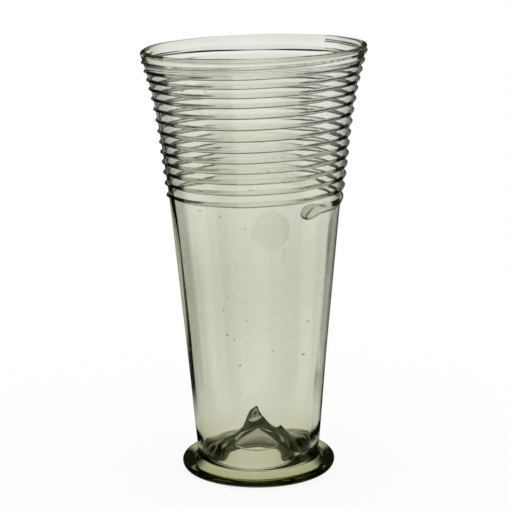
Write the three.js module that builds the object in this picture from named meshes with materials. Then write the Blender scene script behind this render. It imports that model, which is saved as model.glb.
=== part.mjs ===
// A flared beer beaker of pale olive glass, blown into a ten-sided mould, with a glass thread
// wound round its upper half, a thick foot ring laid on below and a pushed-up base.
// Millimetres, +Z up. The origin is the middle of the surface that the foot ring stands on.
// The front is -Y: there the round film sticker is a little to the right of the middle.
import * as THREE from 'three';

// Beaker: outer wall, measured over the corners of its ten facets.
const HEIGHT = 170;
const BASE_RADIUS = 23.9;
const CONE_SLOPE = 0.0938;
const FLARE = 5.2;
const FLARE_POWER = 9;
const FACETS = 10;
const FACET_FLATNESS = 0.962;
const RIM_FLATNESS = 0.978;
const FACET_CORNER_ANGLE = 9.6;
const WALL_LOW = 2.4;
const WALL_HIGH = 1.5;
const RIM_THICKNESS = 2.9;
const RIM_BLEND = 4.5;
const RIM_SLANT = 0.022;
const SLANT_POWER = 4;

// Beaker: the pushed-up base.
const BASE_LIFT = 2.2;
const BASE_CORNER = 3.2;
const DOME_RISE = 10.6;
const FLOOR_THICKNESS = 3.2;
const FLOOR_SLANT = 0.08;
const FLOOR_CORNER = 3.0;
const TIP_RISE = 8.0;
const TIP_RADIUS = 3.0;
const TIP_OFFSET = -1.6;

// Foot ring, laid round the lower corner of the beaker.
const FOOT_REACH = 7.0;
const FOOT_RADIUS = BASE_RADIUS + FOOT_REACH;
const FOOT_FLAT = 3.2;
const FOOT_BULGE = 3.1;
const FOOT_DROP = 0.5;
const FOOT_RISE = 0.7;
const FOOT_TOE_ANGLE = 55;

// Thread: one trail wound upwards, anticlockwise seen from above, from a flattened drop to
// just below the rim. Its number of turns follows from its pitch.
const THREAD_START_ANGLE = -60;
const THREAD_START_HEIGHT = 109.5;
const THREAD_PITCH_LOW = 4.57;
const THREAD_PITCH_HIGH = 3.67;
const THREAD_TOP_MARGIN = 1.584;
const THREAD_WANDER = 0.45;
const THREAD_WANDER_TURNS = 8;
const THREAD_WIDTH = 2.2;
const THREAD_PROUD_LOW = 1.9;
const THREAD_PROUD_HIGH = 1.45;
const THREAD_PROUD_END = 0.8;
const THREAD_END_WIDTH = 1.4;
const THREAD_LOW_TURNS = 3;
const THREAD_ENDING_TURNS = 1;
const RIBBON_WIDTH = 4.6;
const RIBBON_TURNS = 0.55;
const DROP_WIDTH = 6.2;
const DROP_LENGTH = 8.0;
const DROP_PROUD = 2.6;
const DROP_TAPER = 1.1;
const DROP_TIP_PROUD = 0.2;

// Pontil scar, a low ring of broken glass under the pushed-up base.
const SCAR_RADIUS = 10.5;
const SCAR_WIDTH = 2.2;
const SCAR_THICKNESS = 0.8;

// Clear round film sticker on the middle of a facet.
const STICKER_DIAMETER = 15;
const STICKER_THICKNESS = 0.15;
const STICKER_CLEARANCE = 1.68;
const STICKER_FACET = -3;

// Clearance between pieces that are fused or stuck together.
const SEAT_GAP = 0.3;

// Mesh steps.
const SIDES = 2 * FACETS;
const WALL_ROWS = 15;
const CORNER_ROWS = 4;
const RIM_ROWS = 5;
const DOME_ROWS = 5;
const FLOOR_ROWS = 8;
const FOOT_SIDES = 4 * FACETS;
const FOOT_ROWS = 7;
const SCAR_ROWS = 2;
const STICKER_SIDES = 24;
const THREAD_SIDES = 6;
const DROP_STEPS = [0.06, 0.2, 0.45, 0.8];
const FLOOR_ROW_CROWDING = 1.3;
const SLOPE_REACH = 0.5;
const WHOLE_SIDE = 1e-9;

const GLASS = { color: 0xc3c6ad, roughness: 0.06, metalness: 0 };
const FOOT_GLASS = { color: 0xa6a98a, roughness: 0.06, metalness: 0 };
const BROKEN_GLASS = { color: 0x9a9c80, roughness: 0.45, metalness: 0 };
const FILM = { color: 0xf2f3ee, roughness: 0.35, metalness: 0 };

const radians = THREE.MathUtils.degToRad;
const mix = THREE.MathUtils.lerp;

// 0 to 1 with soft ends as value goes from low to high.
function ease(value, low, high) {
  return THREE.MathUtils.smoothstep(value, low, high);
}

// The rim isn't level: points rise on the +X side, more and more towards the rim.
function slanted(point) {
  const share = Math.max(point.z, 0) / HEIGHT;
  return new THREE.Vector3(point.x, point.y, point.z + RIM_SLANT * point.x * share ** SLANT_POWER);
}

// Radius of the faceted outline at an angle, as a share of its corner radius. Each facet is
// two flat strips that meet on its middle line, at a share of the corner radius there.
function facetShare(angle, flatness) {
  const step = Math.PI / FACETS;
  const turned = (angle - radians(FACET_CORNER_ANGLE)) / step;
  const index = Math.floor(turned + WHOLE_SIDE);
  const into = Math.max(turned - index, 0) * step;
  const near = index % 2 === 0 ? 1 : flatness;
  const far = index % 2 === 0 ? flatness : 1;
  return near * far * Math.sin(step) / (near * Math.sin(into) + far * Math.sin(step - into));
}

// Outer wall radius over the corners at a height.
function cornerRadius(z) {
  return BASE_RADIUS + CONE_SLOPE * z + FLARE * (Math.max(z, 0) / HEIGHT) ** FLARE_POWER;
}

function cornerSlope(z) {
  return (cornerRadius(z + SLOPE_REACH) - cornerRadius(z - SLOPE_REACH)) / (2 * SLOPE_REACH);
}

// Outer wall radius at an angle and a height. The facets get softer towards the rim.
function wallRadius(angle, z) {
  const flatness = mix(FACET_FLATNESS, RIM_FLATNESS, ease(z, THREAD_START_HEIGHT, HEIGHT));
  return cornerRadius(z) * facetShare(angle, flatness);
}

function wallThickness(z) {
  return mix(WALL_LOW, WALL_HIGH, z / HEIGHT);
}

// The round lower corner of the beaker, from its underside (0) to its wall (1), grown outwards.
function baseCorner(turn, grow) {
  const angle = Math.PI / 2 * (turn - 1);
  const centre = cornerRadius(BASE_LIFT + BASE_CORNER) - BASE_CORNER;
  const radius = BASE_CORNER + grow;
  return {
    r: centre + radius * Math.cos(angle),
    z: BASE_LIFT + BASE_CORNER + radius * Math.sin(angle),
  };
}

// Height of the underside of the pushed-up base.
function domeHeight(r) {
  const edge = baseCorner(0, 0).r;
  return BASE_LIFT + DOME_RISE * (1 - (r / edge) ** 2);
}

// Height of the inner floor. It is thicker on the +X side and ends in a narrow tip.
function floorHeight(r, x) {
  const tip = TIP_RISE * Math.exp(-((r / TIP_RADIUS) ** 2));
  return domeHeight(r) + FLOOR_THICKNESS + FLOOR_SLANT * x + tip;
}

function onCircle(r, angle, z) {
  return new THREE.Vector3(r * Math.cos(angle), r * Math.sin(angle), z);
}

// A closed mesh through rings of points, closed by one point at each end. The rings run
// clockwise seen along the way from the first to the last.
function closedSkin(firstPoint, rings, lastPoint) {
  const sides = rings[0].length;
  const points = [firstPoint, ...rings.flat(), lastPoint];
  const faces = [];
  const at = (ring, side) => 1 + ring * sides + (side % sides);
  for (let side = 0; side < sides; side += 1) {
    faces.push(0, at(0, side + 1), at(0, side));
    for (let ring = 0; ring + 1 < rings.length; ring += 1) {
      faces.push(at(ring, side), at(ring, side + 1), at(ring + 1, side + 1));
      faces.push(at(ring, side), at(ring + 1, side + 1), at(ring + 1, side));
    }
    const last = rings.length - 1;
    faces.push(points.length - 1, at(last, side), at(last, side + 1));
  }
  const geometry = new THREE.BufferGeometry().setFromPoints(points);
  geometry.setIndex(faces);
  geometry.computeVertexNormals();
  return geometry;
}

function piece(name, geometry, look) {
  const mesh = new THREE.Mesh(geometry, new THREE.MeshStandardMaterial(look));
  mesh.name = name;
  return mesh;
}

// Rows of the beaker, each a function from an angle to a radius and a height, in the order
// underside, lower corner, outer wall, rim, inner wall, floor.
function beakerRows() {
  const rows = [];
  const underside = baseCorner(0, 0).r;
  for (let i = 1; i < DOME_ROWS; i += 1) {
    const r = underside * i / DOME_ROWS;
    rows.push(() => ({ r, z: domeHeight(r) }));
  }
  for (let i = 0; i <= CORNER_ROWS; i += 1) {
    rows.push(() => baseCorner(i / CORNER_ROWS, 0));
  }
  const wallStart = BASE_LIFT + BASE_CORNER + FOOT_RISE + SEAT_GAP;
  const wallEnd = HEIGHT - RIM_THICKNESS / 2;
  const heights = [];
  for (let i = 1; i <= WALL_ROWS; i += 1) {
    heights.push(mix(wallStart, wallEnd, i / WALL_ROWS));
  }
  for (const z of heights) {
    rows.push((angle) => ({ r: wallRadius(angle, z), z }));
  }
  const bead = RIM_THICKNESS / 2;
  for (let i = 1; i <= RIM_ROWS; i += 1) {
    const turn = Math.PI * i / RIM_ROWS;
    rows.push((angle) => ({
      r: wallRadius(angle, wallEnd) - bead + bead * Math.cos(turn),
      z: wallEnd + bead * Math.sin(turn),
    }));
  }
  return rows.concat(innerRows(heights.filter((z) => z < wallEnd - RIM_BLEND)));
}

// Rows of the inner wall from the rim down, the round inner corner and the floor.
function innerRows(heights) {
  const rows = [];
  for (const z of heights.reverse()) {
    rows.push((angle) => ({ r: wallRadius(angle, z) - wallThickness(z), z }));
  }
  const seat = BASE_LIFT + BASE_CORNER;
  const reach = cornerRadius(seat) * FACET_FLATNESS - WALL_LOW - FLOOR_CORNER;
  for (let i = 0; i < CORNER_ROWS; i += 1) {
    const turn = Math.PI / 2 * i / CORNER_ROWS;
    rows.push((angle) => ({
      r: reach + FLOOR_CORNER * Math.cos(turn),
      z: floorHeight(reach, reach * Math.cos(angle)) + FLOOR_CORNER * (1 - Math.sin(turn)),
    }));
  }
  for (let i = FLOOR_ROWS; i > 0; i -= 1) {
    const r = reach * (i / FLOOR_ROWS) ** FLOOR_ROW_CROWDING;
    const shift = TIP_OFFSET * (1 - i / FLOOR_ROWS);
    rows.push((angle) => ({ r, z: floorHeight(r, r * Math.cos(angle)), shift }));
  }
  return rows;
}

function makeBeaker() {
  const rings = beakerRows().map((row) => {
    const ring = [];
    for (let side = 0; side < SIDES; side += 1) {
      const angle = radians(FACET_CORNER_ANGLE) + 2 * Math.PI * side / SIDES;
      const { r, z, shift = 0 } = row(angle);
      const point = onCircle(r, angle, z);
      point.x += shift;
      ring.push(slanted(point));
    }
    return ring;
  });
  const underneath = new THREE.Vector3(0, 0, domeHeight(0));
  const tip = new THREE.Vector3(TIP_OFFSET, 0, floorHeight(0, TIP_OFFSET));
  return piece('beaker', closedSkin(underneath, rings, tip), GLASS);
}

// A ring turned about the axis from a section that closes on itself, run anticlockwise with
// the axis on its left. Its sides line up with the beaker's facets.
function turnedRing(section, sides) {
  const closed = [...section, section[0]].map(({ r, z }) => new THREE.Vector2(r, z));
  const start = radians(FACET_CORNER_ANGLE + 90);
  return new THREE.LatheGeometry(closed, sides, start).rotateX(Math.PI / 2);
}

function makeFootRing() {
  const section = [];
  const edge = FOOT_RADIUS - FOOT_BULGE;
  const top = BASE_LIFT + BASE_CORNER + FOOT_RISE;
  section.push({ r: edge - FOOT_FLAT, z: 0 });
  for (let i = 0; i <= FOOT_ROWS; i += 1) {
    const turn = Math.PI / 2 * (2 * i / FOOT_ROWS - 1);
    const share = turn < 0 ? 1 : (top - FOOT_DROP) / FOOT_BULGE - 1;
    section.push({
      r: edge + FOOT_BULGE * Math.cos(turn),
      z: FOOT_BULGE * (1 + share * Math.sin(turn)),
    });
  }
  section.push({ r: cornerRadius(top) + SEAT_GAP, z: top });
  const toe = 1 - FOOT_TOE_ANGLE / 90;
  for (let i = 0; i <= CORNER_ROWS; i += 1) {
    section.push(baseCorner(mix(1, toe, i / CORNER_ROWS), SEAT_GAP));
  }
  return piece('foot_ring', turnedRing(section, FOOT_SIDES), FOOT_GLASS);
}

function makePontilScar() {
  const section = [];
  const inner = SCAR_RADIUS - SCAR_WIDTH / 2;
  for (let i = 0; i <= SCAR_ROWS; i += 1) {
    const r = inner + SCAR_WIDTH * i / SCAR_ROWS;
    const depth = SCAR_THICKNESS * Math.sin(Math.PI * (i + 1) / (SCAR_ROWS + 2));
    section.push({ r, z: domeHeight(r) - SEAT_GAP - depth });
  }
  for (let i = SCAR_ROWS; i >= 0; i -= 1) {
    const r = inner + SCAR_WIDTH * i / SCAR_ROWS;
    section.push({ r, z: domeHeight(r) - SEAT_GAP });
  }
  return piece('pontil_scar', turnedRing(section, SIDES), BROKEN_GLASS);
}

// Turns from the drop to the thread's end below the rim. The pitch runs evenly from low to high.
function threadTurns() {
  const meanPitch = (THREAD_PITCH_LOW + THREAD_PITCH_HIGH) / 2;
  return (HEIGHT - THREAD_TOP_MARGIN - THREAD_START_HEIGHT) / meanPitch;
}

// Height of the middle of the thread after a number of turns.
function threadHeight(turns) {
  const easing = (THREAD_PITCH_HIGH - THREAD_PITCH_LOW) / (2 * threadTurns());
  const wander = THREAD_WANDER * Math.sin(2 * Math.PI * turns / THREAD_WANDER_TURNS);
  return THREAD_START_HEIGHT + THREAD_PITCH_LOW * turns + easing * turns ** 2 + wander;
}

// Turns made when the thread has run a length from its start.
function turnsAfter(length) {
  return length / (2 * Math.PI * wallRadius(radians(THREAD_START_ANGLE), THREAD_START_HEIGHT));
}

// Width of the thread and how far it stands proud of the wall: first the drop, then a
// flat ribbon, then the even thread, which thins out below the rim.
function threadSize(turns) {
  const into = turns / turnsAfter(DROP_LENGTH);
  const round = into < 0.5 ? Math.sqrt(1 - (1 - 2 * into) ** 2) : 1;
  const drop = 1 - ease(into, 0.5, 0.5 + DROP_TAPER);
  const ribbon = 1 - ease(turns, RIBBON_TURNS / 3, RIBBON_TURNS);
  const ending = ease(turns, threadTurns() - THREAD_ENDING_TURNS, threadTurns());
  const plain = mix(mix(THREAD_WIDTH, RIBBON_WIDTH, ribbon), THREAD_END_WIDTH, ending);
  const high = ease(turns, THREAD_LOW_TURNS - 0.5, THREAD_LOW_TURNS + 0.5);
  const proud = mix(mix(THREAD_PROUD_LOW, THREAD_PROUD_HIGH, high), THREAD_PROUD_END, ending);
  return {
    width: round * mix(plain, DROP_WIDTH, drop),
    proud: mix(SEAT_GAP, mix(proud, DROP_PROUD, drop), round),
  };
}

// Places along the thread, in turns: the drop's round end, then the corners and middles of
// the facets.
function threadStations() {
  const stations = DROP_STEPS.map((share) => share * turnsAfter(DROP_LENGTH));
  const step = 1 / SIDES;
  const past = (FACET_CORNER_ANGLE - THREAD_START_ANGLE) / 360;
  let turns = past - Math.floor(past / step) * step;
  while (turns <= threadTurns()) {
    if (turns > stations[stations.length - 1] + step / 8) {
      stations.push(turns);
    }
    turns += step;
  }
  return stations;
}

// A point on the thread's section: along is up the wall, out is away from it.
function threadPoint(turns, along, out) {
  const angle = radians(THREAD_START_ANGLE) + 2 * Math.PI * turns;
  const z = threadHeight(turns);
  const lean = Math.atan(cornerSlope(z));
  const r = wallRadius(angle, z) + along * Math.sin(lean) + out * Math.cos(lean);
  return slanted(onCircle(r, angle, z + along * Math.cos(lean) - out * Math.sin(lean)));
}

function threadRing(turns) {
  const { width, proud } = threadSize(turns);
  const middle = (SEAT_GAP + proud) / 2;
  const ring = [];
  for (let side = 0; side < THREAD_SIDES; side += 1) {
    const turn = 2 * Math.PI * side / THREAD_SIDES;
    const out = middle + (proud - SEAT_GAP) / Math.sqrt(3) * Math.sin(turn);
    ring.push(threadPoint(turns, width / 2 * Math.cos(turn), out));
  }
  return ring;
}

// Least distance between points of the thread that lie more than half a turn apart.
function leastSelfGap(stations, rings) {
  let least = Infinity;
  for (let i = 0; i < rings.length; i += 1) {
    for (let j = i + 1; j < rings.length; j += 1) {
      const apart = stations[j] - stations[i];
      if (apart > 0.5 && apart < 1.5) {
        for (const a of rings[i]) {
          for (const b of rings[j]) {
            least = Math.min(least, a.distanceTo(b));
          }
        }
      }
    }
  }
  return least;
}

function makeThread() {
  const stations = threadStations();
  const rings = stations.map(threadRing);
  const first = threadPoint(0, 0, SEAT_GAP + DROP_TIP_PROUD);
  const last = threadPoint(threadTurns(), 0, (SEAT_GAP + THREAD_PROUD_END) / 2);
  console.log(`thread: ${stations.length} stations, least gap to itself`
    + ` ${leastSelfGap(stations, rings).toFixed(2)} mm`);
  return piece('thread', closedSkin(first, rings, last), GLASS);
}

// The sticker lies below the thread's first pass over the middle of its facet.
function makeSticker() {
  const facetAngle = FACET_CORNER_ANGLE + 360 * (STICKER_FACET + 0.5) / FACETS;
  const pass = 1 + (facetAngle - THREAD_START_ANGLE) / 360;
  const z = threadHeight(pass) - STICKER_CLEARANCE - (THREAD_WIDTH + STICKER_DIAMETER) / 2;
  const angle = radians(facetAngle);
  const geometry = new THREE.CylinderGeometry(
    STICKER_DIAMETER / 2, STICKER_DIAMETER / 2, STICKER_THICKNESS, STICKER_SIDES);
  geometry.rotateZ(-Math.PI / 2);
  const sticker = piece('sticker', geometry, FILM);
  const lean = Math.atan(cornerSlope(z) * FACET_FLATNESS);
  const out = SEAT_GAP + STICKER_THICKNESS / 2;
  const r = wallRadius(angle, z) + out * Math.cos(lean);
  sticker.position.copy(onCircle(r, angle, z - out * Math.sin(lean)));
  sticker.rotation.set(0, lean, angle, 'ZYX');
  return sticker;
}

const glass = new THREE.Group();
glass.add(makeBeaker(), makeFootRing(), makeThread(), makePontilScar(), makeSticker());

export default glass;
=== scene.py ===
"""Looks of a flared beer beaker of pale olive glass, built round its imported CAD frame.

The beaker is blown into a ten-sided mould. A glass thread is wound round its upper half, a
thick foot ring is laid on below, and its base is pushed up to a crooked peak. Metres, +Z up.
The front is -Y. Each glass piece is one closed body filled with the colour of its glass.
"""

import math

import bpy
import numpy as np
from bpy.props import FloatProperty, FloatVectorProperty, IntProperty, PointerProperty
from mathutils import Matrix, Vector


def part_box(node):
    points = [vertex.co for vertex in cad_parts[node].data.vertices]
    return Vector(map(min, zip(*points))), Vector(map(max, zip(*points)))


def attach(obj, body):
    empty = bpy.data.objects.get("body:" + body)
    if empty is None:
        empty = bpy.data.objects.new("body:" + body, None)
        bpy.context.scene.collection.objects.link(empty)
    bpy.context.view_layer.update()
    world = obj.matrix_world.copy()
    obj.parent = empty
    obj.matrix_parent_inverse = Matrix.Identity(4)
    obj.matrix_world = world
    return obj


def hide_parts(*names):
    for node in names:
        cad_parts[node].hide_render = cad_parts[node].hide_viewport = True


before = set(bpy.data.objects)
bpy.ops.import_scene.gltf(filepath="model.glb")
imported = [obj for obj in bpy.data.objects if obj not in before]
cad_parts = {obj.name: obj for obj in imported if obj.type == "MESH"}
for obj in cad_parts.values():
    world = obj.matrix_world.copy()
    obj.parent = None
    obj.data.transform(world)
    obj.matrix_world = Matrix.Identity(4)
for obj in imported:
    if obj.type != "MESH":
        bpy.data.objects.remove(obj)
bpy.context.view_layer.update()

bl_info = {
    "name": "Threaded Beaker",
    "version": (1, 0, 0),
    "blender": (4, 5, 0),
    "location": "View3D > Sidebar > Beaker",
    "description": "Builds a threaded beer beaker of olive glass round its packed frame",
    "category": "Add Mesh",
}

STICKER_LOW, STICKER_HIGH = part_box("sticker")
IMAGE_SIDE = 510
MM = 0.001
UP = 0, 0, 1
FULL_TURN, QUARTER_TURN = 2 * math.pi, math.pi / 2
FACETS = 10
FACET_CORNER = math.radians(9.6)
SHARP_EDGE = math.radians(35)

# Directions round the beaker and widths of what changes towards them, in degrees from +X.
RIGHT, BACK, LEFT, LAP = 0, 90, 180, -32
LAP_WIDTH, BACK_WIDTH, SIDE_WIDTH = 24, 45, 50

# Heights between which a form comes in.
FACETS_IN = 8 * MM, 55 * MM
RIPPLE_IN = 10 * MM, 30 * MM
THINNING_IN = 15 * MM, 45 * MM

# The same as shares of the beaker's height, and of the height where the thread starts.
WALL_CHANGE = 0.45, 0.95
THREAD_ZONE = 0.9, 1.15

# Where the drop turns into the thread, in lengths of the drop.
DROP_END = 0.5, 1.6

# Seeds of the random draws.
RIPPLE_SEED, FOOT_SEED, WALL_SEED, THREAD_SEED = 3, 5, 8, 9
JAG_SEED, WORN_SEED, BUBBLE_SEED = 12, 14, 21

# Rows of points over the underside, a round corner, a wall, the rim and the floor.
HOLLOW_ROWS, CORNER_ROWS, WALL_ROWS, RIM_ROWS, FLOOR_ROWS = 60, 9, 120, 13, 90

# Points over the foot ring's edge, the thread's front, the drop's round end and round the film.
EDGE_ROWS, THREAD_POINTS, DROP_STEPS, FILM_SIDES = 19, 25, 16, 72

# The foot ring's top: shares of the way from its edge to the wall, falls into the groove, and
# powers of its rise. MOST_UNEVEN is the highest of its waves, which keeps the edge in its radius.
TOP_PARTS = 0.35, 0.55, 0.7, 0.8, 0.86
GROOVE_PARTS, GROOVE_FALLS = (0.91, 0.95, 0.975), (0.12, 0.45, 0.8)
TOP_CURVE, LAP_CURVE = 1.5, 6
MOST_UNEVEN = 1.5

# Powers that shape the thread's section above and below its crest.
UPPER_CURVE, LOWER_CURVE = 1.2, 1.4

# The scar: points along and round it, depths of its jags, and least shares that are left.
SCAR_STEPS, SCAR_SIDES = 160, 10
JAG_DEPTHS = 0.55, 1.0
LEAST_DEEP, LEAST_WIDE = 0.1, 0.7

# Seed bubbles: how many, where, how deep in the wall, how large and how long.
BUBBLE_COUNT, BUBBLE_SIDES, BUBBLE_ROWS = 90, 10, 6
BUBBLE_HEIGHTS = 30 * MM, 164 * MM
BUBBLE_DEPTHS = 0.35, 0.65
BUBBLE_SIZES = 0.15 * MM, 0.38 * MM
BUBBLE_ROOM = 0.32
STRETCHES, STRETCH_SHARES = (1.0, 1.3, 3.2), (0.5, 0.35, 0.15)

# Rings of the film, as shares of its radius.
FILM_REACHES = 0.25, 0.6, 0.9, 1

# Glass and film.
GLASS_DENSITY = 200
GLASS_IOR, FILM_IOR = 1.5, 1.45
WHITE = 1, 1, 1, 1
STREAK_SHADE = 0.86, 0.9, 0.78, 1
BASE_SHADE = 0.9, 0.9, 0.7, 1
GLUE_SHADE = 0.8, 0.81, 0.77, 1
STREAK_STRETCH = 40, 40, 420
BASE_GLASS = 6 * MM, 24 * MM
DENT_DEPTH = 0.05 * MM
CLEAN_SHARE = 0.55

# The floor's size and own light, and where its darkness comes in for rays from the glass.
FLOOR_SIDES, FLOOR_REACH, FLOOR_GLOW = 96, 12.0, 0.85
BESIDE_FOOT, BEHIND_SHARE = (20.5 * MM, 25 * MM), 0.45
FOOT_ZONE, FAR_ZONE = (38 * MM, 60 * MM), (60 * MM, 130 * MM)
MIRRORED_ZONE = 20 * MM, 23 * MM

# Directions between which the room turns dark: above the backdrop and towards the diagonals.
ABOVE_BACKDROP = math.sin(math.radians(11)), math.sin(math.radians(21))
DIAGONAL = math.sin(math.radians(46)), math.sin(math.radians(58))


def length(name, description, millimetres):
    """A length that the panel shows, given in millimetres and kept in metres."""
    return FloatProperty(
        name=name,
        description=description,
        default=millimetres * MM,
        unit="LENGTH",
        subtype="DISTANCE",
        precision=5,
    )


def share(name, description, value):
    return FloatProperty(name=name, description=description, default=value, subtype="FACTOR")


def turn_angle(name, description, degrees):
    return FloatProperty(
        name=name, description=description, default=math.radians(degrees), subtype="ANGLE"
    )


def number(name, description, value):
    return FloatProperty(name=name, description=description, default=value)


def colour(name, description, value):
    return FloatVectorProperty(
        name=name, description=description, default=value, size=3, subtype="COLOR", min=0, max=1
    )


class BeakerSizes(bpy.types.PropertyGroup):
    """The blown beaker: its faceted wall, rim and pushed-up base."""

    height: length("Height", "Height of the rim at the middle", 170)
    base_radius: length("Base Radius", "Radius over the facet corners at the foot", 23.9)
    cone_slope: number("Cone Slope", "Growth of the radius with the height", 0.0938)
    flare: length("Flare", "What the rim flares out beyond the cone", 5.2)
    flare_power: number("Flare Power", "How late the flare starts", 9)
    facet_flatness: share("Facet Flatness", "Radius of a facet's middle, of its corner's", 0.962)
    foot_flatness: share("Foot Flatness", "The same at the foot", 0.985)
    rim_flatness: share("Rim Flatness", "The same at the rim", 0.978)
    corner_softness: turn_angle("Corner Softness", "Half the width of a facet's corner", 6)
    inner_softness: turn_angle("Inner Softness", "The same inside, where it is softer", 9)
    corner_fading: share("Corner Fading", "How much softer the corners are at the rim", 0.4)
    wall_low: length("Wall Below", "Thickness of the wall at the foot", 2.05)
    wall_high: length("Wall Above", "Thickness of the wall below the rim", 0.95)
    thin_side: share("Thin Side", "Share that the wall is thinner on its right", 0.42)
    wall_belly: length("Wall Belly", "What the wall is thicker at half height", 0.45)
    belly_place: share("Belly Place", "Where the belly is, of the height", 0.42)
    belly_width: length("Belly Width", "Height over which the belly fades", 22)
    wall_waves: share("Wall Waves", "How uneven the wall's thickness is", 0.06)
    rim_thickness: length("Rim Thickness", "Thickness of the rounded rim", 2.5)
    rim_blend: length("Rim Blend", "Height over which the wall thickens to the rim", 6)
    rim_slant: number("Rim Slant", "Rise of the rim towards +X", 0.0203)
    slant_power: number("Slant Power", "How late the rim's slant starts", 4)
    ripple: length("Ripple", "Depth of the uneven waves of the wall", 0.03)
    base_lift: length("Base Lift", "Height of the beaker's underside", 2.2)
    base_corner: length("Base Corner", "Radius of the lower corner", 3.2)
    hollow_rise: length("Hollow Rise", "Depth of the hollow under the base", 13.4)
    hollow_power: number("Hollow Power", "1 is a pointed hollow, 2 a round one", 1.08)
    floor_level: length("Floor Level", "Height of the floor beside the wall", 6.3)
    floor_corner: length("Floor Corner", "Radius of the inner corner", 1.6)
    narrowing: length("Narrowing", "Height over which the inner wall meets its corner", 8)
    floor_slant: number("Floor Slant", "Rise of the floor towards +X", 0.06)
    floor_dish: length("Floor Dish", "How far the floor rises to the left and right", 2.4)
    dish_reach: length("Dish Reach", "Where the floor has risen that far", 20)
    floor_tilt: number("Floor Tilt", "Rise of the floor towards +Y", 0.05)
    cone_rise: length("Cone Rise", "Height of the floor's cone", 13.9)
    cone_reach: length("Cone Reach", "Radius of the floor's cone", 19.8)
    cone_power: number("Cone Power", "1 is a straight cone", 1.0)
    cone_blunt: length("Cone Blunt", "Radius of the cone's rounded top", 2.0)
    tip_rise: length("Tip Rise", "Height of the peak on the cone", 5.9)
    tip_radius: length("Tip Radius", "Width of the peak", 2.7)
    tip_squeeze: number("Tip Squeeze", "How much narrower the peak is along Y", 1.15)
    tip_power: number("Tip Power", "2 is a round peak, more a steep one", 3)
    tip_offset: length("Tip Offset", "Place of the peak along X", -2.4)
    sides: IntProperty(name="Sides", description="Mesh steps round the beaker", default=240)


class ThreadSizes(bpy.types.PropertyGroup):
    """The wound glass thread, from its drop to its end below the rim."""

    start_angle: turn_angle("Start Angle", "Place of the drop round the beaker", -60)
    start_height: length("Start Height", "Height of the drop", 109.5)
    pitch_low: length("Lower Pitch", "Rise of the first turn", 4.57)
    pitch_high: length("Upper Pitch", "Rise of the last turn", 3.67)
    top_margin: length("Top Margin", "From the thread's end to the rim", 1.584)
    wander: length("Wander", "How far the turns wander up and down", 0.45)
    wander_turns: number("Wander Turns", "Turns between two wanderings", 8)
    width_low: length("Lower Width", "Width of the first turns", 2.1)
    width_high: length("Upper Width", "Width of the later turns", 2.0)
    proud_low: length("Lower Height", "How far the first turns stand proud", 1.2)
    proud_high: length("Upper Height", "How far the later turns stand proud", 1.0)
    proud_end: length("End Height", "How far the end stands proud", 0.8)
    end_width: length("End Width", "Width at the end", 1.4)
    low_turns: number("Thick Turns", "Number of thick turns", 5)
    ribbon_width: length("Ribbon Width", "Width of the flat ribbon after the drop", 4.6)
    ribbon_turns: number("Ribbon Turns", "Length of the ribbon in turns", 0.55)
    drop_width: length("Drop Width", "Width of the drop", 6.2)
    drop_length: length("Drop Length", "Length of the drop", 8.0)
    drop_proud: length("Drop Height", "How far the drop stands proud", 2.6)
    crest: share("Crest", "Place of the crest from the lower edge to the upper", 0.45)
    low_round: share("Lower Roundness", "How round the first turns are above the crest", 0.45)
    unevenness: share("Unevenness", "How uneven its width and height are", 0.04)
    wider_behind: share("Wider Behind", "What it is wider at the back", 0.4)
    narrower_beside: share("Narrower Beside", "What it is narrower at the sides", 0.3)
    flatter_behind: share("Flatter Behind", "What it stands less proud at the back", 0.5)
    flatter_beside: share("Flatter Beside", "What it stands less proud at the sides", 0.15)
    fused: length("Fused", "How deep fused pieces reach into each other", 0.05)


class FootSizes(bpy.types.PropertyGroup):
    """The foot ring laid round the lower corner, and the scar under the base."""

    reach: length("Reach", "From the beaker's base to the ring's edge", 6.9)
    flat: length("Flat", "Width of the standing face", 3.2)
    bulge: length("Bulge", "Radius of the ring's round edge", 3.1)
    drop: length("Drop", "How far its top falls towards the edge", 0.5)
    rise: length("Rise", "How far it laps over the lower corner", 0.7)
    lap: length("Lap", "How much higher it laps at the front right", 2.2)
    groove: length("Groove", "Depth of the groove between the ring and the wall", 0.8)
    lap_groove: number("Lap Groove", "What the groove is deeper at the front right", 1.2)
    edge_waves: length("Edge Waves", "How uneven its edge is", 0.1)
    top_waves: length("Top Waves", "How uneven its top is", 0.2)
    heel_inset: length("Heel Inset", "From the heel to its raised edge", 0.4)
    heel_rise: length("Heel Rise", "Height of the raised edge over the table", 0.25)
    heel_width: length("Heel Width", "From the heel to the standing face", 0.9)
    toe_angle: turn_angle("Toe Angle", "How far it reaches under the corner", 84)
    scar_radius: length("Scar Radius", "Radius of the scar's ring", 10.5)
    scar_width: length("Scar Width", "Width of the scar's ring", 0.9)
    scar_thickness: length("Scar Thickness", "Height of the broken edge", 0.45)
    scar_seat: length("Scar Seat", "How far its middle lies below the base", 0.1)
    scar_back: length("Scar Back", "How far its back rises from its middle", 0.05)


class FilmSizes(bpy.types.PropertyGroup):
    """The round clear film sticker."""

    diameter: length("Diameter", "Diameter of the film", 15)
    thickness: length("Thickness", "Thickness of the film", 0.15)
    lift: length("Lift", "From the glass to the film", 0.06)


class GlassLooks(bpy.types.PropertyGroup):
    """Colours of the glass, as what is left of white light, and of the stage."""

    tint: colour("Tint", "Colour of the thick glass", (0.60, 0.598, 0.42))
    foot_tint: colour("Foot Tint", "Colour of the foot ring's glass", (0.545, 0.545, 0.15))
    film: colour("Film", "Colour of the sticker's film", (0.99, 0.99, 0.98))
    floor: colour("Floor", "Colour of the floor", (1, 1, 1))
    surround: colour("Surround", "Colour of the dark parts of the room", (0.012, 0.012, 0.01))


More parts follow.
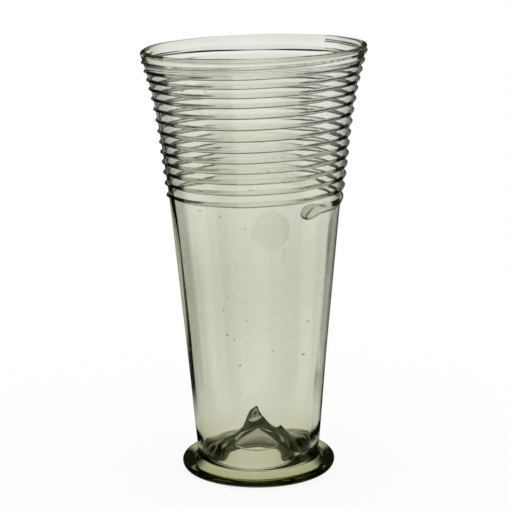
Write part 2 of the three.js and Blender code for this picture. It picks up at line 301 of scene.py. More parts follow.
class BeakerSettings(bpy.types.PropertyGroup):
    """All that the panel shows."""

    beaker: PointerProperty(type=BeakerSizes)
    thread: PointerProperty(type=ThreadSizes)
    foot: PointerProperty(type=FootSizes)
    film: PointerProperty(type=FilmSizes)
    looks: PointerProperty(type=GlassLooks)


def ease(value, low, high):
    """0 to 1 with soft ends as value goes from low to high."""
    t = np.clip((value - low) / (high - low), 0, 1)
    return t * t * (3 - 2 * t)


def mix(first, second, part):
    return first + (second - first) * part


def bell(value, middle, width):
    return np.exp(-(((value - middle) / width) ** 2))


def angle_bell(angle, degrees, width):
    """A soft hump round one direction, given with its width in degrees."""
    away = np.abs((np.degrees(angle) - degrees + 180) % 360 - 180)
    return np.exp(-((away / width) ** 2))


def waves(angle, along, seed, count=7, most_round=5, least_along=0.3, most_along=3):
    """Smooth uneven waves between about -1 and 1, over an angle and a distance along, 0 to 1."""
    draw = np.random.default_rng(seed)
    total = 0
    for _ in range(count):
        round_turns = draw.integers(0, most_round + 1)
        along_turns = draw.uniform(least_along, most_along)
        start = draw.uniform(0, FULL_TURN)
        total = total + np.sin(round_turns * angle + FULL_TURN * along_turns * along + start)
    return total / math.sqrt(count)


# The beaker's form, repeated from the CAD solid with soft corners.


def facet_share(angle, flatness):
    """Radius of the ten-sided outline at an angle, as a share of its corner radius."""
    place = ((angle - FACET_CORNER) * FACETS / FULL_TURN) % 1
    return flatness + (1 - flatness) * (2 * np.abs(place - 0.5)) ** 2


def soft_share(angle, flatness, softness):
    """The same with corners that are rounded over an angle to both sides."""
    steps = range(-3, 4)
    return sum(facet_share(angle + k * softness / steps[-1], flatness) for k in steps) / len(steps)


def corner_radius(z, b):
    high = np.maximum(z, 0) / b.height
    return b.base_radius + b.cone_slope * z + b.flare * high**b.flare_power


def corner_slope(z, b):
    step = 0.5 * MM
    return (corner_radius(z + step, b) - corner_radius(z - step, b)) / (2 * step)


def above_thread(z, t):
    """0 below the thread, 1 above its first turns."""
    low, high = THREAD_ZONE
    return ease(z, low * t.start_height, high * t.start_height)


def wall_flatness(z, rising, b):
    """The facets fade towards the round foot and the rim."""
    low = mix(b.foot_flatness, b.facet_flatness, ease(z, *FACETS_IN))
    return mix(low, b.rim_flatness, rising)


def wall_radius(angle, z, b, t):
    """Outer radius of the wall. The facets get softer towards the rim."""
    rising = above_thread(z, t)
    flatness = wall_flatness(z, rising, b)
    softness = b.corner_softness * (1 + b.corner_fading * rising)
    uneven = b.ripple * waves(angle, z / b.height, RIPPLE_SEED) * ease(z, *RIPPLE_IN)
    return corner_radius(z, b) * soft_share(angle, flatness, softness) + uneven


def inner_radius(angle, z, b, t):
    """Inner radius of the wall, whose facets are softer than outside."""
    rising = above_thread(z, t)
    flatness = wall_flatness(z, rising, b)
    thickness = mix(b.wall_low, b.wall_high, ease(z / b.height, *WALL_CHANGE))
    thickness = thickness + b.wall_belly * bell(z, b.belly_place * b.height, b.belly_width)
    thinner = b.thin_side * angle_bell(angle, RIGHT, SIDE_WIDTH) * ease(z, *THINNING_IN)
    uneven = b.wall_waves * waves(angle, z / b.height, WALL_SEED)
    thickness = thickness * (1 - thinner + uneven)
    return corner_radius(z, b) * soft_share(angle, flatness, b.inner_softness) - thickness


def base_corner(turn, grow, b):
    """The round lower corner, from the underside (0) to the wall (1), grown outwards."""
    angle = QUARTER_TURN * (turn - 1)
    middle = b.base_lift + b.base_corner
    centre = corner_radius(middle, b) - b.base_corner
    radius = b.base_corner + grow
    return centre + radius * math.cos(angle), middle + radius * math.sin(angle)


def corner_facets(angle, turn, b):
    """How the round underside turns into the facets of the wall, over the lower corner."""
    return mix(1, soft_share(angle, b.foot_flatness, b.corner_softness), turn)


def hollow_height(r, b):
    """Height of the hollow underside, which is nearly a cone."""
    edge = base_corner(0, 0, b)[0]
    return b.base_lift + b.hollow_rise * (1 - (r / edge) ** b.hollow_power)


def floor_folds(x, y):
    """Knobs and folds on the flanks of the pushed-up floor."""
    knob = hump(x, y, rise=2.2, place=(10.2, 1.5), wide=1.7, deep=2.4)
    shoulder = hump(x, y, rise=2.8, place=(1.2, 0.0), wide=2.8, deep=3.0)
    left_fold = hump(x, y, rise=1.0, place=(-14.2, 0.0), wide=2.2, deep=3.5)
    front_right = hump(x, y, rise=1.0, place=(15.0, -15.0), wide=4.0, deep=4.0)
    return knob + shoulder + left_fold + front_right


def hump(x, y, rise, place, wide, deep):
    """A soft hump. Its height, its place and its widths are given in millimetres."""
    return rise * MM * bell(x, place[0] * MM, wide * MM) * bell(y, place[1] * MM, deep * MM)


def floor_height(r, angle, b):
    """Height of the inner floor: a low cone with a crooked peak, folds, and one side higher."""
    x, y = r * np.cos(angle), r * np.sin(angle)
    cone = np.clip(1 - np.hypot(r, b.cone_blunt) / b.cone_reach, 0, 1) ** b.cone_power
    away = np.hypot(x - b.tip_offset, b.tip_squeeze * y)
    tip = np.exp(-((away / b.tip_radius) ** b.tip_power))
    level = b.floor_level + b.floor_slant * x + b.floor_tilt * y
    level = level + b.floor_dish * (x / b.dish_reach) ** 2
    return level + b.cone_rise * cone + b.tip_rise * tip + floor_folds(x, y)


def slanted(points, b):
    """Points rise on the +X side, more and more towards the rim."""
    high = np.maximum(points[..., 2], 0) / b.height
    points[..., 2] += b.rim_slant * points[..., 0] * high**b.slant_power
    return points


def on_circle(r, angle, z):
    return np.stack(np.broadcast_arrays(r * np.cos(angle), r * np.sin(angle), z), axis=-1)


# Meshes from rings of points.


def capped_body(rings, first, last):
    """Points and faces of a closed body through rings, closed by a point at each end."""
    count, sides = rings.shape[:2]
    points = np.concatenate([rings.reshape(-1, 3), [first, last]])
    at = np.arange(count * sides).reshape(count, sides)
    after = np.roll(at, -1, axis=1)
    quads = np.stack([at[:-1], after[:-1], after[1:], at[1:]], axis=-1).reshape(-1, 4)
    start = np.full(sides, count * sides)
    low_fan = np.stack([start, after[0], at[0]], axis=-1)
    high_fan = np.stack([start + 1, at[-1], after[-1]], axis=-1)
    return points, [quads, low_fan, high_fan]


def turned_body(sections):
    """Points and faces of a closed ring: each row of points is one step round the axis."""
    steps, sides = sections.shape[:2]
    here = np.arange(steps * sides).reshape(steps, sides)
    there = np.roll(here, -1, axis=0)
    quads = [here, there, np.roll(there, -1, axis=1), np.roll(here, -1, axis=1)]
    return sections.reshape(-1, 3), [np.stack(quads, axis=-1).reshape(-1, 4)]


def smooth_mesh(name, bodies):
    """A smooth mesh from bodies, each with its points and its arrays of faces."""
    points, corners, sizes, start = [], [], [], 0
    for body_points, face_groups in bodies:
        points.append(body_points)
        for faces in face_groups:
            corners.append((faces + start).ravel())
            sizes.append(np.full(len(faces), faces.shape[1]))
        start += len(body_points)
    corners, sizes = np.concatenate(corners), np.concatenate(sizes)
    mesh = bpy.data.meshes.new(name)
    mesh.vertices.add(start)
    mesh.vertices.foreach_set("co", np.concatenate(points).astype(np.float32).ravel())
    mesh.loops.add(len(corners))
    mesh.loops.foreach_set("vertex_index", corners.astype(np.int32))
    mesh.polygons.add(len(sizes))
    mesh.polygons.foreach_set("loop_start", (np.cumsum(sizes) - sizes).astype(np.int32))
    mesh.update(calc_edges=True)
    if mesh.validate():
        raise RuntimeError(f"{name} has faces that don't hold together")
    mesh.shade_smooth()
    mesh.set_sharp_from_angle(angle=SHARP_EDGE)
    return mesh


def shown_piece(name, bodies, material, node):
    """One smooth mesh object from bodies of points and faces, in place of a CAD node."""
    mesh = smooth_mesh(name, bodies)
    mesh.materials.append(material)
    piece = bpy.data.objects.new(name, mesh)
    bpy.context.scene.collection.objects.link(piece)
    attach(piece, "root")
    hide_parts(node)
    return piece


# Materials.


class Value:
    """One output of a node. Arithmetic on values adds Math nodes."""

    def __init__(self, maker, socket):
        self.maker = maker
        self.socket = socket

    def maths(self, operation, first, second):
        return self.maker.node("ShaderNodeMath", {"operation": operation}, {0: first, 1: second})

    def __add__(self, other):
        return self.maths("ADD", self, other)

    def __sub__(self, other):
        return self.maths("SUBTRACT", self, other)

    def __rsub__(self, other):
        return self.maths("SUBTRACT", other, self)

    def __mul__(self, other):
        return self.maths("MULTIPLY", self, other)

    def highest(self, other):
        return self.maths("MAXIMUM", self, other)

    def lowest(self, other):
        return self.maths("MINIMUM", self, other)

    def size(self):
        return self.maths("ABSOLUTE", self, 0)

    __radd__ = __add__
    __rmul__ = __mul__


class ShaderMaker:
    """Adds the nodes of one material or of the world."""

    def __init__(self, owner):
        owner.use_nodes = True
        self.tree = owner.node_tree
        self.tree.nodes.clear()

    def node(self, kind, settings=None, inputs=None, output=0):
        """A new node with its settings, then its sockets' values or links; gives one output."""
        made = self.tree.nodes.new(kind)
        for name, value in (settings or {}).items():
            setattr(made, name, value)
        for key, value in (inputs or {}).items():
            if isinstance(value, Value):
                self.tree.links.new(value.socket, made.inputs[key])
            else:
                made.inputs[key].default_value = value
        return Value(self, made.outputs[output]) if made.outputs else None

    def blend(self, part, first, second):
        """A colour between two."""
        return self.node(
            "ShaderNodeMix", {"data_type": "RGBA"}, {0: part, 6: first, 7: second}, output=2
        )

    def rise(self, value, low, high):
        """0 to 1 with soft ends as a value goes from low to high."""
        return self.node(
            "ShaderNodeMapRange",
            {"interpolation_type": "SMOOTHSTEP"},
            {"Value": value, "From Min": low, "From Max": high},
        )

    def diagonal(self, place):
        """1 towards the four diagonals round the upright axis, 0 towards the four sides."""
        level = self.vector("MULTIPLY", place, (1, 1, 0))
        heading = self.vector("NORMALIZE", level)
        crossing = self.coordinate(heading, "X") * self.coordinate(heading, "Y") * 2
        return self.rise(crossing.size(), *DIAGONAL)

    def noise(self, place, scale, detail, distortion=0):
        return self.node(
            "ShaderNodeTexNoise",
            None,
            {"Vector": place, "Scale": scale, "Detail": detail, "Distortion": distortion},
        )

    def bump(self, height, strength):
        return self.node(
            "ShaderNodeBump", None, {"Strength": strength, "Distance": DENT_DEPTH, "Height": height}
        )

    def place(self, stretch=(1, 1, 1)):
        """Where a point is on its object, in metres, stretched along the axes."""
        return self.vector("MULTIPLY", self.node("ShaderNodeTexCoord", output="Object"), stretch)

    def vector(self, operation, first, second=(0, 0, 0), output="Vector"):
        return self.node(
            "ShaderNodeVectorMath", {"operation": operation}, {0: first, 1: second}, output
        )

    def coordinate(self, vector, axis):
        """One coordinate of a vector."""
        return self.node("ShaderNodeSeparateXYZ", None, {0: vector}, axis)

    def ray(self, kind):
        """What the Light Path node says of the ray that finds this point."""
        return self.node("ShaderNodeLightPath", output=kind)


def glass_material(name, tint, streaks, smudges, pits, pit_scale, satin=0, deep=0):
    """Clear glass whose body takes up light.

    Streaks tint it, smudges and satin dull it, pits dent it, and its foot is deeper in colour.
    """
    material = bpy.data.materials.new(name)
    maker = ShaderMaker(material)
    layered = maker.noise(maker.place(STREAK_STRETCH), scale=1, detail=3, distortion=0.4)
    smudge = maker.noise(maker.place(), scale=60, detail=4, distortion=0.8)
    dents = maker.noise(maker.place(), pit_scale, detail=2)
    shade = maker.blend(layered * streaks, WHITE, STREAK_SHADE)
    height = maker.coordinate(maker.place(), "Z")
    low = (1 - maker.rise(height, *BASE_GLASS)) * deep
    shade = maker.blend(low, shade, BASE_SHADE)
    dull = (smudge - CLEAN_SHARE).highest(0) * smudges
    bump = maker.bump(dents, pits)
    surface = maker.node(
        "ShaderNodeBsdfPrincipled",
        None,
        {
            "Base Color": shade,
            "Roughness": dull + satin,
            "Normal": bump,
            "IOR": GLASS_IOR,
            "Transmission Weight": 1,
        },
    )
    inside = maker.node(
        "ShaderNodeVolumeAbsorption", None, {"Color": (*tint, 1), "Density": GLASS_DENSITY}
    )
    maker.node("ShaderNodeOutputMaterial", None, {"Surface": surface, "Volume": inside})
    return material


def film_material(looks):
    """Thin clear film with a soft sheen, faint specks of glue and a few flat spots."""
    material = bpy.data.materials.new("clear film")
    maker = ShaderMaker(material)
    most_glue, satin, uneven = 0.5, 0.08, 0.25
    glue = maker.noise(maker.place(), scale=900, detail=3)
    cloud = maker.noise(maker.place(), scale=220, detail=4, distortion=0.6)
    shade = maker.blend(glue * most_glue, (*looks.film, 1), GLUE_SHADE)
    bump = maker.bump(glue, strength=0.25)
    surface = maker.node(
        "ShaderNodeBsdfPrincipled",
        None,
        {
            "Base Color": shade,
            "Roughness": cloud * uneven + satin,
            "Normal": bump,
            "IOR": FILM_IOR,
            "Transmission Weight": 1,
        },
    )
    maker.node("ShaderNodeOutputMaterial", None, {"Surface": surface})
    return material


# Pieces.


def beaker_rings(b, t):
    """Rings of the beaker: underside, lower corner, outer wall, rim, inner wall, floor."""
    angle = FULL_TURN * np.arange(b.sides) / b.sides
    rows = []
    edge = base_corner(0, 0, b)[0]
    for r in edge * np.linspace(0, 1, HOLLOW_ROWS)[1:-1]:
        rows.append((r, hollow_height(r, b)))
    for turn in np.linspace(0, 1, CORNER_ROWS):
        r, z = base_corner(turn, 0, b)
        rows.append((r * corner_facets(angle, turn, b), z))
    bead = b.rim_thickness / 2
    wall_end = b.height - bead
    for z in np.linspace(b.base_lift + b.base_corner, wall_end, WALL_ROWS)[1:]:
        rows.append((wall_radius(angle, z, b, t), z))
    rim_middle = wall_radius(angle, wall_end, b, t) - bead
    for turn in np.linspace(0, math.pi, RIM_ROWS)[1:]:
        rows.append((rim_middle + bead * math.cos(turn), wall_end + bead * math.sin(turn)))
    rows += inner_rows(angle, rim_middle - bead, b, t)
    return np.stack([on_circle(r, angle, z) for r, z in rows])


def inner_rows(angle, rim_inside, b, t):
    """Rows of the inner wall from the rim down, the round inner corner and the floor."""
    rows = []
    wall_end = b.height - b.rim_thickness / 2
    reach = inner_radius(angle, b.floor_level + b.floor_corner, b, t) - b.floor_corner
    foot = floor_height(reach, angle, b) + b.floor_corner
    for part in np.linspace(0, 1, WALL_ROWS)[1:-1]:
        z = mix(wall_end, foot, part)
        thickening = 1 - ease(wall_end - z, 0, b.rim_blend)
        narrowing = 1 - ease(z - foot, 0, b.narrowing)
        r = mix(inner_radius(angle, z, b, t), reach + b.floor_corner, narrowing)
        rows.append((mix(r, rim_inside, thickening), z))
    for turn in np.linspace(0, QUARTER_TURN, CORNER_ROWS)[:-1]:
        r = reach + b.floor_corner * math.cos(turn)
        z = floor_height(reach, angle, b) + b.floor_corner * (1 - math.sin(turn))
        rows.append((r, z))
    for part in np.linspace(1, 0, FLOOR_ROWS)[:-1]:
        r = reach * part
        rows.append((r, floor_height(r, angle, b)))
    return rows


def seed_bubbles(b, t):
    """Small closed hollows in the wall, their faces turned inwards, as points and faces."""
    draw = np.random.default_rng(BUBBLE_SEED)
    bodies = []
    around = FULL_TURN * np.arange(BUBBLE_SIDES) / BUBBLE_SIDES
    for _ in range(BUBBLE_COUNT):
        angle = draw.uniform(0, FULL_TURN)
        z = draw.uniform(*BUBBLE_HEIGHTS)
        depth = draw.uniform(*BUBBLE_DEPTHS)
        size = draw.uniform(*BUBBLE_SIZES)
        stretch = draw.choice(STRETCHES, p=STRETCH_SHARES)
        outer = wall_radius(np.array([angle]), z, b, t)[0]
        inner = inner_radius(np.array([angle]), z, b, t)[0]
        size = min(size, BUBBLE_ROOM * (outer - inner))
        centre = on_circle(mix(inner, outer, depth), angle, z)
        tangent = np.array([-math.sin(angle), math.cos(angle), 0])
        outward = size * np.array([math.cos(angle), math.sin(angle), 0])
        across = size * stretch * np.outer(np.cos(around), tangent)
        across = across + size * np.outer(np.sin(around), UP)
        rings = []
        for polar in math.pi * np.arange(1, BUBBLE_ROWS) / BUBBLE_ROWS:
            rings.append(centre - outward * math.cos(polar) + across * math.sin(polar))
        points, faces = capped_body(np.array(rings), centre - outward, centre + outward)
        bodies.append((slanted(points, b), faces))
    return bodies


def make_beaker(b, t, looks):
    rings = slanted(beaker_rings(b, t), b)
    underneath = np.array([0, 0, hollow_height(0, b)])
    peak = np.array([0, 0, floor_height(0, 0, b)])
    bodies = [capped_body(rings, underneath, peak), *seed_bubbles(b, t)]
    material = glass_material(
        "olive wall glass",
        looks.tint,
        streaks=0.35,
        smudges=0.15,
        pits=0.1,
        pit_scale=700,
        satin=0.04,
        deep=0.5,
    )
    return shown_piece("beaker_glass", bodies, material, "beaker")


def foot_section(angle, b, t, f):
    """The ring's section at one angle: standing face, round edge, top, and its seat."""
    uneven = float(waves(angle, 0, FOOT_SEED, most_round=4))
    edge = b.base_radius + f.reach - f.bulge + f.edge_waves * (uneven - MOST_UNEVEN)
    top = b.base_lift + b.base_corner + f.rise + f.top_waves * uneven
    lapping = float(angle_bell(angle, LAP, LAP_WIDTH))
    lap, groove = f.lap * lapping, f.groove * (1 + f.lap_groove * lapping)
    heel = edge - f.flat
    section = [(heel + f.heel_inset, f.heel_rise), (heel + f.heel_width, 0)]
    for turn in np.linspace(-QUARTER_TURN, QUARTER_TURN, EDGE_ROWS):
        lift = 1 if turn < 0 else (top - f.drop) / f.bulge - 1
        section.append((edge + f.bulge * math.cos(turn), f.bulge * (1 + lift * math.sin(turn))))
    wall = float(wall_radius(angle, top + lap, b, t))
    for part in TOP_PARTS:
        z = mix(top - f.drop, top, part**TOP_CURVE) + lap * part**LAP_CURVE
        section.append((mix(edge, wall, part), z))
    crest = section[-1][1]
    for part, fall in zip(GROOVE_PARTS, GROOVE_FALLS):
        section.append((mix(edge, wall, part), crest - fall * groove))
    section.append((wall - t.fused, crest - groove))
    toe = 1 - f.toe_angle / QUARTER_TURN
    for part in np.linspace(0, 1, CORNER_ROWS):
        turn = mix(1, toe, part)
        r, z = base_corner(turn, -t.fused, b)
        section.append((r * float(corner_facets(angle, turn, b)), z))
    (toe_r, toe_z), (heel_r, heel_z) = section[-1], section[0]
    section.append(((toe_r + heel_r) / 2, (toe_z + heel_z) / 2))
    return section


def make_foot(b, t, f, looks):
    rings = []
    for angle in FULL_TURN * np.arange(b.sides) / b.sides:
        rings.append([on_circle(r, angle, z) for r, z in foot_section(angle, b, t, f)])
    body = turned_body(np.array(rings))
    material = glass_material(
        "olive foot glass", looks.foot_tint, streaks=0.3, smudges=0.2, pits=0.2, pit_scale=500
    )
    return shown_piece("foot_ring_glass", [body], material, "foot_ring")


def make_scar(b, f, looks):
    """A low, broken ring of glass left by the working iron, jagged and partly worn away."""
    draw = np.random.default_rng(JAG_SEED)
    jags = draw.uniform(*JAG_DEPTHS, (SCAR_STEPS, SCAR_SIDES))
    rings = []
    for step in range(SCAR_STEPS):
        angle = FULL_TURN * step / SCAR_STEPS
        wave = float(np.clip(waves(angle, 0, WORN_SEED, most_round=6), -1, 1))
        left = mix(LEAST_DEEP, 1, (1 + wave) / 2)
        half_width = f.scar_width / 2 * mix(LEAST_WIDE, 1, left)
        ring = []
        for side in range(SCAR_SIDES):
            turn = FULL_TURN * side / SCAR_SIDES
            r = f.scar_radius + half_width * math.cos(turn)
            depth = max(0, -math.sin(turn)) * f.scar_thickness * left * jags[step, side]
            back = max(0, math.sin(turn)) * f.scar_back
            ring.append(on_circle(r, angle, hollow_height(r, b) - f.scar_seat - depth + back))
        rings.append(ring)
    body = turned_body(np.array(rings))
    material = glass_material(
        "broken glass", looks.foot_tint, streaks=0.3, smudges=0.9, pits=1, pit_scale=1800
    )
    return shown_piece("pontil_scar_glass", [body], material, "pontil_scar")


def thread_turns(b, t):
    return (b.height - t.top_margin - t.start_height) / ((t.pitch_low + t.pitch_high) / 2)


def thread_height(turns, b, t):
    """Height of the middle of the thread after a number of turns."""
    easing = (t.pitch_high - t.pitch_low) / (2 * thread_turns(b, t))
    wander = t.wander * np.sin(FULL_TURN * turns / t.wander_turns)
    return t.start_height + t.pitch_low * turns + easing * turns**2 + wander


def drop_turns(b, t):
    """Turns that the drop's length takes up."""
    return t.drop_length / (FULL_TURN * corner_radius(t.start_height, b))


def drop_share(turns, b, t):
    """1 in the drop, 0 in the thread that follows it."""
    return 1 - ease(turns / drop_turns(b, t), *DROP_END)


def later_share(turns, t):
    """0 in the thick first turns, 1 in the later ones."""
    return ease(turns, t.low_turns - 0.5, t.low_turns + 0.5)


def thread_size(turns, b, t):
    """Width of the thread and how far it stands proud: the drop, the ribbon, the even thread."""
    end = thread_turns(b, t)
    blunt = np.sqrt(1 - np.clip(1 - 2 * turns / drop_turns(b, t), 0, 1) ** 2)
    drop = drop_share(turns, b, t)
    ribbon = 1 - ease(turns, t.ribbon_turns / 3, t.ribbon_turns)
    ending = ease(turns, end - 1, end)
    high = later_share(turns, t)
    width = mix(t.width_low, t.width_high, high)
    width = mix(mix(width, t.ribbon_width, ribbon), t.end_width, ending)
    proud = mix(mix(t.proud_low, t.proud_high, high), t.proud_end, ending)
    wave = waves(FULL_TURN * turns, turns / end, THREAD_SEED, most_round=3, most_along=30)
    angle = t.start_angle + FULL_TURN * turns
    behind = angle_bell(angle, BACK, BACK_WIDTH)
    beside = angle_bell(angle, RIGHT, SIDE_WIDTH) + angle_bell(angle, LEFT, SIDE_WIDTH)
    width = width * (1 + t.wider_behind * behind - t.narrower_beside * beside)
    proud = proud * (1 - t.flatter_behind * behind - t.flatter_beside * beside)
    scale = blunt * (1 + t.unevenness * wave)
    return scale * mix(width, t.drop_width, drop), scale * mix(proud, t.drop_proud, drop)


def thread_rings(turns, b, t):
    """Sections of the thread: a back just inside the wall and a front that melts into it."""
    width, proud = thread_size(turns, b, t)
    drop = drop_share(turns, b, t)
    crest = mix(t.crest, 0.5, drop)
    side = np.sin(np.linspace(-QUARTER_TURN, QUARTER_TURN, THREAD_POINTS))
    melted = (1 + np.cos(math.pi * side)) / 2
    round_front = np.sqrt(1 - side**2)
    roundness = np.maximum(t.low_round * (1 - later_share(turns, t)), drop)
    upper = mix(melted, round_front**UPPER_CURVE, roundness)
    lower = mix(1 - np.abs(side) ** LOWER_CURVE, round_front, drop)
    shape = np.where(side < 0, lower, upper)
    front = t.fused / 2 + (proud + t.fused / 2) * shape
    along = np.where(side < 0, crest * (1 + side), crest + (1 - crest) * side)
    back = 0 * width
    out = np.concatenate([front, back, back, back], axis=1)
    along = np.concatenate([along, back + 1, back + 0.5, back], axis=1)
    return thread_points(turns, (along - 0.5) * width, out - t.fused, b, t)[:, ::-1]


def thread_points(turns, along, out, b, t):
    """Points of the thread's section: along is up the wall, out is away from it."""
    angle = t.start_angle + FULL_TURN * turns
    middle = thread_height(turns, b, t)
    lean = np.arctan(corner_slope(middle, b))
    z = middle + along * np.cos(lean)
    r = wall_radius(angle, z, b, t) + out * np.cos(lean)
    return on_circle(r, angle, z - out * np.sin(lean))


def thread_stations(b, t):
    """Places along the thread in turns: close together in the drop, then in step with the wall."""
    rounding = np.linspace(0, QUARTER_TURN, DROP_STEPS)[1:]
    round_end = drop_turns(b, t) * (1 - np.cos(rounding)) / 2
    step = 1 / b.sides
    first = math.ceil(round_end[-1] / step + 0.5) * step
    return np.concatenate([round_end, np.arange(first, thread_turns(b, t), step)])[:, None]


def make_thread(b, t, looks):
    rings = thread_rings(thread_stations(b, t), b, t)
    start = thread_points(np.zeros((1, 1)), 0, 0, b, t)[0, 0]
    points, faces = capped_body(rings, start, rings[-1].mean(axis=0))
    body = (slanted(points, b), faces)
    material = glass_material(
        "olive thread glass", looks.tint, streaks=0.3, smudges=0.1, pits=0.08, pit_scale=900
    )
    return shown_piece("thread_trail", [body], material, "thread")


def make_film(b, t, p, looks):
    """A thin round film that follows the middle of its facet below the thread."""
    middle = (STICKER_LOW + STICKER_HIGH) / 2
    facet = math.atan2(middle.y, middle.x)
    around = FULL_TURN * np.arange(FILM_SIDES) / FILM_SIDES
    back = [(p.lift, reach) for reach in (0, *FILM_REACHES)]
    front = [(p.lift + p.thickness, reach) for reach in (*reversed(FILM_REACHES), 0)]
    rings = []
    for out, reach in back + front:
        across = p.diameter / 2 * reach * np.cos(around)
        z = middle.z + p.diameter / 2 * reach * np.sin(around)
        angle = facet + across / corner_radius(middle.z, b)
        rings.append(on_circle(wall_radius(angle, z, b, t) + out, angle, z))
    rings = slanted(np.array(rings), b)
    body = capped_body(rings[1:-1], rings[0, 0], rings[-1, 0])
    return shown_piece("sticker_film", [body], film_material(looks), "sticker")


# Stage.


def make_floor(looks):
    """A round pale floor, far wider than the view.

    Rays through the glass find it dark beside the foot and on the diagonals, and mirrored rays
    find it dark outside the foot. All others find it pale.
    """
    around = FULL_TURN * np.arange(FLOOR_SIDES) / FLOOR_SIDES
    points = [*on_circle(FLOOR_REACH, around, 0 * around).tolist(), (0, 0, 0)]
    faces = [(FLOOR_SIDES, k, (k + 1) % FLOOR_SIDES) for k in range(FLOOR_SIDES)]
    mesh = bpy.data.meshes.new("floor")
    mesh.from_pydata(points, [], faces)
    material = bpy.data.materials.new("pale floor")
    maker = ShaderMaker(material)
    mirrored = maker.ray("Is Reflection Ray")
    through = maker.ray("Is Transmission Ray")
    seen = maker.ray("Is Camera Ray").highest(through).highest(mirrored)
    lit = maker.node("ShaderNodeBsdfDiffuse", None, {"Color": (*looks.floor, 1)})
    glow = maker.node("ShaderNodeEmission", None, {"Color": (*looks.floor, 1), "Strength": 1})
    dim = maker.node("ShaderNodeEmission", None, {"Color": (*looks.surround, 1), "Strength": 1})
    shown = maker.node("ShaderNodeMixShader", None, {0: seen * FLOOR_GLOW, 1: lit, 2: glow})
    here = maker.node("ShaderNodeNewGeometry", output="Position")
    behind = maker.coordinate(here, "Y").highest(0)
    outward = maker.coordinate(here, "X").size() - behind * BEHIND_SHARE
    beside = maker.rise(outward, *BESIDE_FOOT)
    away = maker.vector("LENGTH", here, output="Value")
    near = 1 - maker.rise(away, *FOOT_ZONE)
    far = maker.rise(away, *FAR_ZONE)
    dark = (beside * near + maker.diagonal(here) * far) * through
    dark = dark.highest(mirrored * maker.rise(away, *MIRRORED_ZONE))
    surface = maker.node("ShaderNodeMixShader", None, {0: dark, 1: shown, 2: dim})
    maker.node("ShaderNodeOutputMaterial", None, {"Surface": surface})
    mesh.materials.append(material)
    floor = bpy.data.objects.new("floor", mesh)
    bpy.context.scene.collection.objects.link(floor)


def make_world(looks):
    """A white room, dark only for rays from the glass: above the backdrop and on the diagonals."""
    world = bpy.data.worlds.new("studio")
    bpy.context.scene.world = world
    maker = ShaderMaker(world)
    way = maker.node("ShaderNodeTexCoord", output="Generated")
    above = maker.rise(maker.coordinate(way, "Z"), *ABOVE_BACKDROP)
    through = maker.ray("Is Transmission Ray")
    mirrored = maker.ray("Is Reflection Ray")
    from_floor = maker.ray("Diffuse Depth").lowest(1)
    dark = (above.highest(maker.diagonal(way)) * through).highest(mirrored) * (1 - from_floor)
    shade = maker.blend(dark, WHITE, (*looks.surround, 1))
    sky = maker.node("ShaderNodeBackground", None, {"Color": shade, "Strength": 1})
    maker.node("ShaderNodeOutputWorld", None, {"Surface": sky})


def make_camera():
    """The camera at the photograph's place, slightly above the rim and looking down."""
    distance, height, focal_pixels = 0.730, 0.251, 1888
    pitch, yaw, roll = math.radians(12.65), math.radians(-0.04), math.radians(-0.7)
    level = math.cos(pitch)
    forward = Vector((math.sin(yaw) * level, math.cos(yaw) * level, -math.sin(pitch)))
    right = forward.cross(Vector(UP)).normalized()
    up = right.cross(forward)
    turned_right = right * math.cos(roll) + up * math.sin(roll)
    turned_up = up * math.cos(roll) - right * math.sin(roll)
    data = bpy.data.cameras.new("camera")
    data.sensor_width = 36
    data.lens = data.sensor_width * focal_pixels / IMAGE_SIDE
    camera = bpy.data.objects.new("camera", data)
    bpy.context.scene.collection.objects.link(camera)
    turn = Matrix((turned_right, turned_up, -forward)).transposed()
    camera.matrix_world = Matrix.Translation((0, -distance, height)) @ turn.to_4x4()
    bpy.context.scene.camera = camera


class MakeBeaker(bpy.types.Operator):
    """Build the faceted beaker with its rim, pushed-up base and fine bubbles"""

    bl_idname = "beaker.make_beaker"
    bl_label = "Make Beaker"

    def execute(self, context):
        s = context.scene.beaker_settings
        make_beaker(s.beaker, s.thread, s.looks)
        return {"FINISHED"}


class MakeFoot(bpy.types.Operator):
    """Build the foot ring and the scar under the base"""

    bl_idname = "beaker.make_foot"
    bl_label = "Make Foot"

    def execute(self, context):
        s = context.scene.beaker_settings
        make_foot(s.beaker, s.thread, s.foot, s.looks)
        make_scar(s.beaker, s.foot, s.looks)
        return {"FINISHED"}


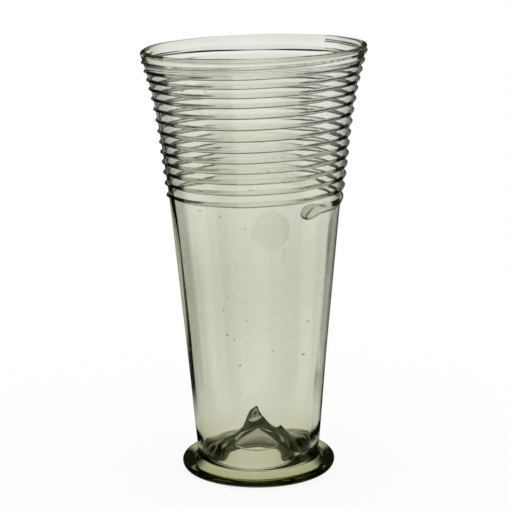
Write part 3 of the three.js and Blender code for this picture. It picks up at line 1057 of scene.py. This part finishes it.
class MakeThread(bpy.types.Operator):
    """Build the wound thread, from its drop to its end below the rim"""

    bl_idname = "beaker.make_thread"
    bl_label = "Make Thread"

    def execute(self, context):
        s = context.scene.beaker_settings
        make_thread(s.beaker, s.thread, s.looks)
        return {"FINISHED"}


class MakeFilm(bpy.types.Operator):
    """Build the round clear film below the thread"""

    bl_idname = "beaker.make_film"
    bl_label = "Make Film Sticker"

    def execute(self, context):
        s = context.scene.beaker_settings
        make_film(s.beaker, s.thread, s.film, s.looks)
        return {"FINISHED"}


class MakeStage(bpy.types.Operator):
    """Set up the floor, the studio light and the camera"""

    bl_idname = "beaker.make_stage"
    bl_label = "Make Stage"

    def execute(self, context):
        make_floor(context.scene.beaker_settings.looks)
        make_world(context.scene.beaker_settings.looks)
        make_camera()
        context.scene.view_settings.view_transform = "Standard"
        return {"FINISHED"}


class BeakerPanel(bpy.types.Panel):
    """Sizes, colours and builders of the beaker"""

    bl_idname = "VIEW3D_PT_beaker"
    bl_label = "Threaded Beaker"
    bl_space_type = "VIEW_3D"
    bl_region_type = "UI"
    bl_category = "Beaker"

    def draw(self, context):
        everything = context.scene.beaker_settings
        for part in ("beaker", "thread", "foot", "film", "looks"):
            group = getattr(everything, part)
            box = self.layout.box()
            box.label(text=part.capitalize())
            for name in group.bl_rna.properties.keys():
                if name not in {"rna_type", "name"}:
                    box.prop(group, name)
        for operator in OPERATORS:
            self.layout.operator(operator.bl_idname)


GROUPS = (BeakerSizes, ThreadSizes, FootSizes, FilmSizes, GlassLooks, BeakerSettings)
OPERATORS = (MakeBeaker, MakeFoot, MakeThread, MakeFilm, MakeStage)


def register():
    for group in (*GROUPS, *OPERATORS, BeakerPanel):
        bpy.utils.register_class(group)
    bpy.types.Scene.beaker_settings = PointerProperty(type=BeakerSettings)


def unregister():
    del bpy.types.Scene.beaker_settings
    for group in reversed((*GROUPS, *OPERATORS, BeakerPanel)):
        bpy.utils.unregister_class(group)


def main():
    register()
    bpy.ops.beaker.make_beaker()
    bpy.ops.beaker.make_foot()
    bpy.ops.beaker.make_thread()
    bpy.ops.beaker.make_film()
    bpy.ops.beaker.make_stage()


if __name__ == "__main__":
    main()
